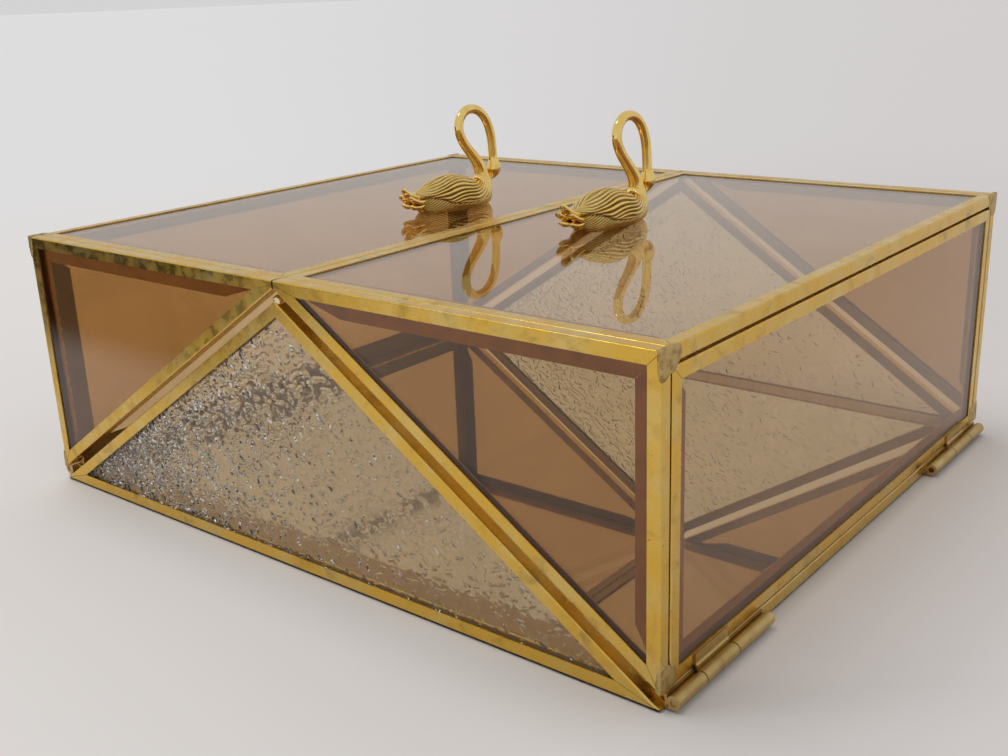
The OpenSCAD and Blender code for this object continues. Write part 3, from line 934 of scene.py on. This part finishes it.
def tail_petal(aside, reach, lift, half_width):
    """Points and shades of one feather of the tail: it leaves the rump flat and curls up at its tip."""
    root = Vector((aside * 0.45, PETAL_ROOT, 0.42 * lift + 2.6))
    bend = Vector((aside * 0.9, PETAL_BEND, 0.36 * lift + 0.6))
    tip = Vector((aside * 1.15, reach, lift))
    points, shades = [], []
    for k in range(PETAL_STEPS + 1):
        t = k / PETAL_STEPS
        spot = root * (1 - t) ** 2 + bend * 2 * t * (1 - t) + tip * t**2
        run = ((bend - root) * (1 - t) + (tip - bend) * t).normalized()
        over = SIDEWAYS.cross(run).normalized()
        # Widest in the middle, with a rounded tip
        width = half_width * (0.75 + 0.3 * math.sin(math.pi * t)) * math.sqrt(max(0.02, 1 - t**8))
        for i in range(PETAL_SIDES):
            turn = 2 * math.pi * i / PETAL_SIDES
            aside_by, over_by = math.cos(turn) * width, math.sin(turn) * width * PETAL_THICK
            # A shaft runs down the middle, hollows beside it
            hollow = PETAL_HOLLOW * width * math.exp(-(((abs(aside_by) / width) - 0.5) / 0.2) ** 2)
            over_by -= math.copysign(hollow, over_by) * (abs(over_by) > hollow)
            points.append(tuple(spot + SIDEWAYS * aside_by + over * over_by))
            # Painted shade in the hollows beside the shaft
            shades.append(min(1, hollow / width * 4.2) * 0.6)
    return points, shades


def tube_faces(first, rings, sides):
    """Faces of a tube whose points start at first, with a face over each end."""
    faces = [tuple(first + i for i in reversed(range(sides)))]
    for r in range(rings - 1):
        for i in range(sides):
            a, b = first + r * sides + i, first + r * sides + (i + 1) % sides
            faces.append((a, b, b + sides, a + sides))
    faces.append(tuple(first + (rings - 1) * sides + i for i in range(sides)))
    return faces


def swan(side, body, material):
    """One cast swan, feathered body, neck in a loop and the bill resting on the breast."""
    node = side + "_swan_handle"
    low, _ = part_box(node)
    points, shades = swan_points()
    faces = tube_faces(0, len(points) // SWAN_SIDES, SWAN_SIDES)
    for petal in TAIL_PETALS:
        petal_points, petal_shades = tail_petal(*petal)
        faces += tube_faces(len(points), PETAL_STEPS + 1, PETAL_SIDES)
        points += petal_points
        shades += petal_shades
    mesh = mesh_from(side + "_swan", np.array(points) * MM, faces)
    mesh.attributes.new("groove", "FLOAT", "POINT").data.foreach_set("value", shades)
    tail_x, tail_y, turn = SWAN_PLACES[side]
    foot = Matrix.Translation((tail_x * MM, tail_y * MM, low.z))
    mesh.transform(foot @ Matrix.Rotation(math.radians(-turn), 4, "Z"))
    bm = bmesh.new()
    bm.from_mesh(mesh)
    bmesh.ops.recalc_face_normals(bm, faces=bm.faces)
    bm.to_mesh(mesh)
    bm.free()
    piece = add_object(side + "_swan", mesh, material)
    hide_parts(node)
    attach(piece, body)


# Stage

FLOOR_REACH = 30
# The dim end of the room, which lies in front and to the left, out of the photograph: its corners,
# and the stretch of y over which it fades out
DIM_CORNERS = [(-0.14, -0.175), (-2.5, -0.175), (-2.5, -2.5), (-1.9, -2.5)]
DIM_FADE = (-0.215, -0.175)
# For each sun: how bright it is, how wide in degrees, the way to it, and whether glass and metal show it.
# The wide one isn't shown, as its disc would fill the mirror floor, also where that is seen through a pane
SUNS = {
    "soft_sun": (1.4, 38, (-0.30, -0.05, 1), False),
    "crisp_sun": (0.22, 13, (-0.50, -0.40, 0.75), True),
}
# The way to the room's bright side, and how far towards it the brightness begins and is full
BRIGHT_WAY = (0.62, 0.72, 0.3)
BRIGHT_SIDE = (-0.45, 0.1)


def add_sun(name, energy, angle, towards, shown):
    """A sun lamp. towards points from the box to the lamp."""
    sun = bpy.data.lights.new(name, "SUN")
    sun.energy = energy
    sun.angle = math.radians(angle)
    sun.color = LAMP_WHITE
    piece = bpy.data.objects.new(name, sun)
    bpy.context.scene.collection.objects.link(piece)
    piece.rotation_euler = Vector(towards).to_track_quat("Z", "Y").to_euler()
    piece.visible_glossy = shown
    piece.visible_transmission = shown


def level_sheet(name, corners, height, material):
    """One flat face of the stage, level at a height."""
    points = [(x, y, height) for x, y in corners]
    return add_object(name, mesh_from(name, points, [(0, 1, 2, 3)], smooth=False), material)


def make_world():
    """The room's light on what is matt, and the backdrop that the camera, metal and glass show."""
    world = bpy.data.worlds.new("stage_world")
    bpy.context.scene.world = world
    world.use_nodes = True
    tree = world.node_tree
    way = put(tree, "ShaderNodeTexCoord").outputs["Generated"]
    brightness = put(tree, "ShaderNodeVectorMath", {0: way, 1: BRIGHT_WAY}, operation="DOT_PRODUCT")
    share = stretch_range(tree, brightness.outputs["Value"], *BRIGHT_SIDE)
    room = blend_colours(tree, share, SKY_DIM, ROOM_BRIGHT)
    path = put(tree, "ShaderNodeLightPath").outputs
    mirrored = maths(tree, "MAXIMUM", path["Is Glossy Ray"], path["Is Transmission Ray"])
    seen = maths(tree, "MAXIMUM", path["Is Camera Ray"], mirrored)
    colour = blend_colours(tree, seen, room, BACKDROP)
    feed(tree, tree.nodes["Background"], {"Color": colour, "Strength": 1})


def set_stage():
    """The pale floor, the room's dim end that only reflections show, the suns and the world."""
    reach = FLOOR_REACH
    corners = [(-reach, -reach), (reach, -reach), (reach, reach), (-reach, reach)]
    floor = level_sheet("stage_floor", corners, 0, make_stage_white())
    dim = level_sheet("stage_dim_end", DIM_CORNERS, MM, make_room_dark())
    for kind in ("camera", "diffuse", "transmission", "shadow", "volume_scatter"):
        setattr(dim, "visible_" + kind, False)
    for name, sun in SUNS.items():
        add_sun(name, *sun)
    make_world()


def set_camera():
    camera = bpy.data.objects.new("photo_camera", bpy.data.cameras.new("photo_camera"))
    bpy.context.scene.collection.objects.link(camera)
    camera.location = CAMERA_PLACE
    camera.rotation_euler = [math.radians(a) for a in CAMERA_TURN]
    camera.data.sensor_width = CAMERA_SENSOR
    camera.data.lens = CAMERA_LENS
    camera.data.clip_start = CAMERA_NEAREST
    bpy.context.scene.camera = camera
    bpy.context.scene.view_settings.view_transform = "Standard"


# The box

PLANE_NAMES = {0: "side", 1: "end", 2: "level"}
# Middle planes nearer than this, as decimals of a metre, are one plane
PLANE_DECIMALS = 5
# Any numbers that give each pane its own relief
FRONT_SEED = 23
BACK_SEED = 317


def dress(nodes, material):
    for node in nodes:
        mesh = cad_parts[node].data
        mesh.materials.clear()
        mesh.materials.append(material)


def thin_axis(node):
    """The axis across a flat panel, and the place of its middle plane on that axis."""
    low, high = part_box(node)
    size = high - low
    axis = min(range(3), key=lambda k: size[k])
    return axis, round((low[axis] + high[axis]) / 2, PLANE_DECIMALS)


def dress_panels(all_nodes):
    """Brass for the cames and smoked glass for the lids' panes, one material for each plane."""
    panels = {}
    for node in all_nodes:
        if node.endswith("came") or (node.endswith("glass") and "fixed" not in node):
            panels.setdefault((node.endswith("came"), *thin_axis(node)), []).append(node)
    for (is_came, axis, middle), nodes in sorted(panels.items()):
        name = PLANE_NAMES[axis] + "_" + str(round(middle / MM)).replace("-", "minus_")
        if is_came:
            colours = (CLEAN_BRASS, PALE_BRASS)
            brass = make_brass("came_brass_" + name, colours, 0.6, 0.20, 0.36, pane=(axis, middle))
            dress(nodes, brass)
        else:
            dress(nodes, make_smoked_glass("smoked_glass_" + name, axis))


set_camera()
hinge_brass = make_brass("hinge_brass", (HINGE_TAN, HINGE_PALE), 0.8, 0.32, 0.50)
pebbled = make_pebbled_glass()
solder = make_solder("tinned_solder", SOLDER_TAN, SOLDER_DARK, 0.42, 0.60)
bead = make_solder("apex_solder", BEAD_BRIGHT, SOLDER_TAN, 0.10, 0.24)
gold = make_swan_gold()

all_nodes = sorted(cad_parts)
dress([n for n in all_nodes if "hinge" in n], hinge_brass)
dress(["floor_mirror"], make_mirror())
dress_panels(all_nodes)

pebbled_pane("front_fixed_glass", "base", -1, FRONT_SEED, pebbled)
pebbled_pane("back_fixed_glass", "base", 1, BACK_SEED, pebbled)
felt_piece(make_felt())
apex_blobs(bead)
for side in ("left", "right"):
    corner_solders(side, side + "_lid", solder)
    swan(side, side + "_lid", gold)
set_stage()
